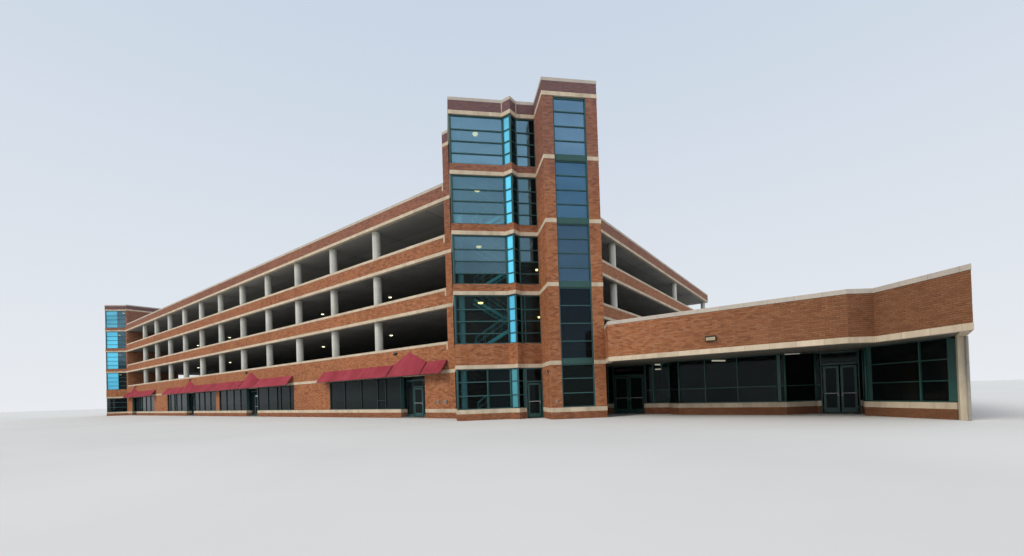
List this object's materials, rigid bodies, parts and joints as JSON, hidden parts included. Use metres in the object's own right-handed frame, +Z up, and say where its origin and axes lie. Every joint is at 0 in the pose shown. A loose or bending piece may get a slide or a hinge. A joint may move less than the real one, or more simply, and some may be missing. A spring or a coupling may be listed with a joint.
{
  "type": "multi storey car park scale model",
  "caption": "Scale model of a brick multi storey car park with open parking decks over shopfronts, glazed corner stair towers, a low glazed wing and opening ground floor doors.",
  "frame": {"origin": "centre of the car park's footprint, on the underside of its ground floor", "axes": "+X along the street front towards the tower with the low wing, +Y away from the street, +Z up"},
  "size_m": [10.9352, 5.1753, 1.872],
  "materials": {
    "concrete": "cast concrete, matt",
    "limestone": "smooth cast stone",
    "brick": "red facing brick",
    "glass": "tinted, reflective",
    "green_frames": "dark green paint, satin",
    "canvas": "maroon canvas",
    "black_metal": "black paint, satin",
    "grey_metal": "grey paint, matt",
    "soffit": "pale soffit boards, matt",
    "roof_felt": "dark roof covering, matt"
  },
  "bodies": {
    "root": {"ground_floor": "concrete", "deck_level_2": "concrete", "deck_level_3": "concrete", "deck_level_4": "concrete", "roof_deck": "concrete", "front_columns": "concrete", "side_columns": "concrete", "back_columns": "concrete", "inner_columns": "concrete", "front_spandrels": "brick", "front_stone": "limestone", "side_spandrels": "brick", "side_stone": "limestone", "back_spandrels": "brick", "back_stone": "limestone", "front_piers": "brick", "front_sills": "limestone", "shop_windows": "glass", "shop_entrances": "green_frames", "side_ground_walls": "brick", "back_ground_walls": "brick", "ground_copings": "limestone", "tower_core_walls": "brick", "tower_spandrels": "brick", "tower_stone": "limestone", "tower_glass": "glass", "tower_posts": "green_frames", "tower_floors": "concrete", "tower_roofs": "concrete", "tower_stairs": "grey_metal", "stair_stringers": "green_frames", "shaft_walls": "brick", "shaft_glass": "glass", "tower_columns": "green_frames", "wing_floor": "concrete", "wing_base": "brick", "wing_sills": "limestone", "wing_glass": "glass", "wing_posts": "green_frames", "wing_fascia": "brick", "wing_stone": "limestone", "wing_soffit": "soffit", "wing_roof": "roof_felt", "wing_pier": "limestone", "wing_columns": "green_frames", "wing_party_walls": "brick", "awning_set_1": "canvas", "awning_set_2": "canvas", "awning_set_3": "canvas", "awning_set_4": "canvas", "awning_frames": "black_metal", "flood_lamps": "black_metal", "wall_lamps": "black_metal", "wall_boxes": "grey_metal"},
    "shop_door": {"shop_door": "green_frames"},
    "tower_door": {"tower_door": "green_frames"},
    "wing_door_1_left": {"wing_door_1_left": "green_frames"},
    "wing_door_1_right": {"wing_door_1_right": "green_frames"},
    "wing_door_2_left": {"wing_door_2_left": "green_frames"},
    "wing_door_2_right": {"wing_door_2_right": "green_frames"}
  },
  "joints": [
    {"name": "shop_door_hinge", "type": "hinge", "parent": "root", "child": "shop_door", "pos_m": [3.3625, -2.4245, 0.111], "axis": [0, 0, -1], "range_deg": [0, 90]},
    {"name": "tower_door_hinge", "type": "hinge", "parent": "root", "child": "tower_door", "pos_m": [4.33631, -2.40217, 0.106], "axis": [0, 0, -1], "range_deg": [0, 90]},
    {"name": "wing_door_1_left_hinge", "type": "hinge", "parent": "root", "child": "wing_door_1_left", "pos_m": [4.6495, -1.8805, 0.1185], "axis": [0, 0, -1], "range_deg": [0, 90]},
    {"name": "wing_door_1_right_hinge", "type": "hinge", "parent": "root", "child": "wing_door_1_right", "pos_m": [4.8425, -1.8805, 0.1185], "axis": [0, 0, 1], "range_deg": [0, 90]},
    {"name": "wing_door_2_left_hinge", "type": "hinge", "parent": "root", "child": "wing_door_2_left", "pos_m": [5.7355, -1.8755, 0.1185], "axis": [0, 0, -1], "range_deg": [0, 90]},
    {"name": "wing_door_2_right_hinge", "type": "hinge", "parent": "root", "child": "wing_door_2_right", "pos_m": [5.8705, -1.8755, 0.1185], "axis": [0, 0, 1], "range_deg": [0, 90]}
  ]
}
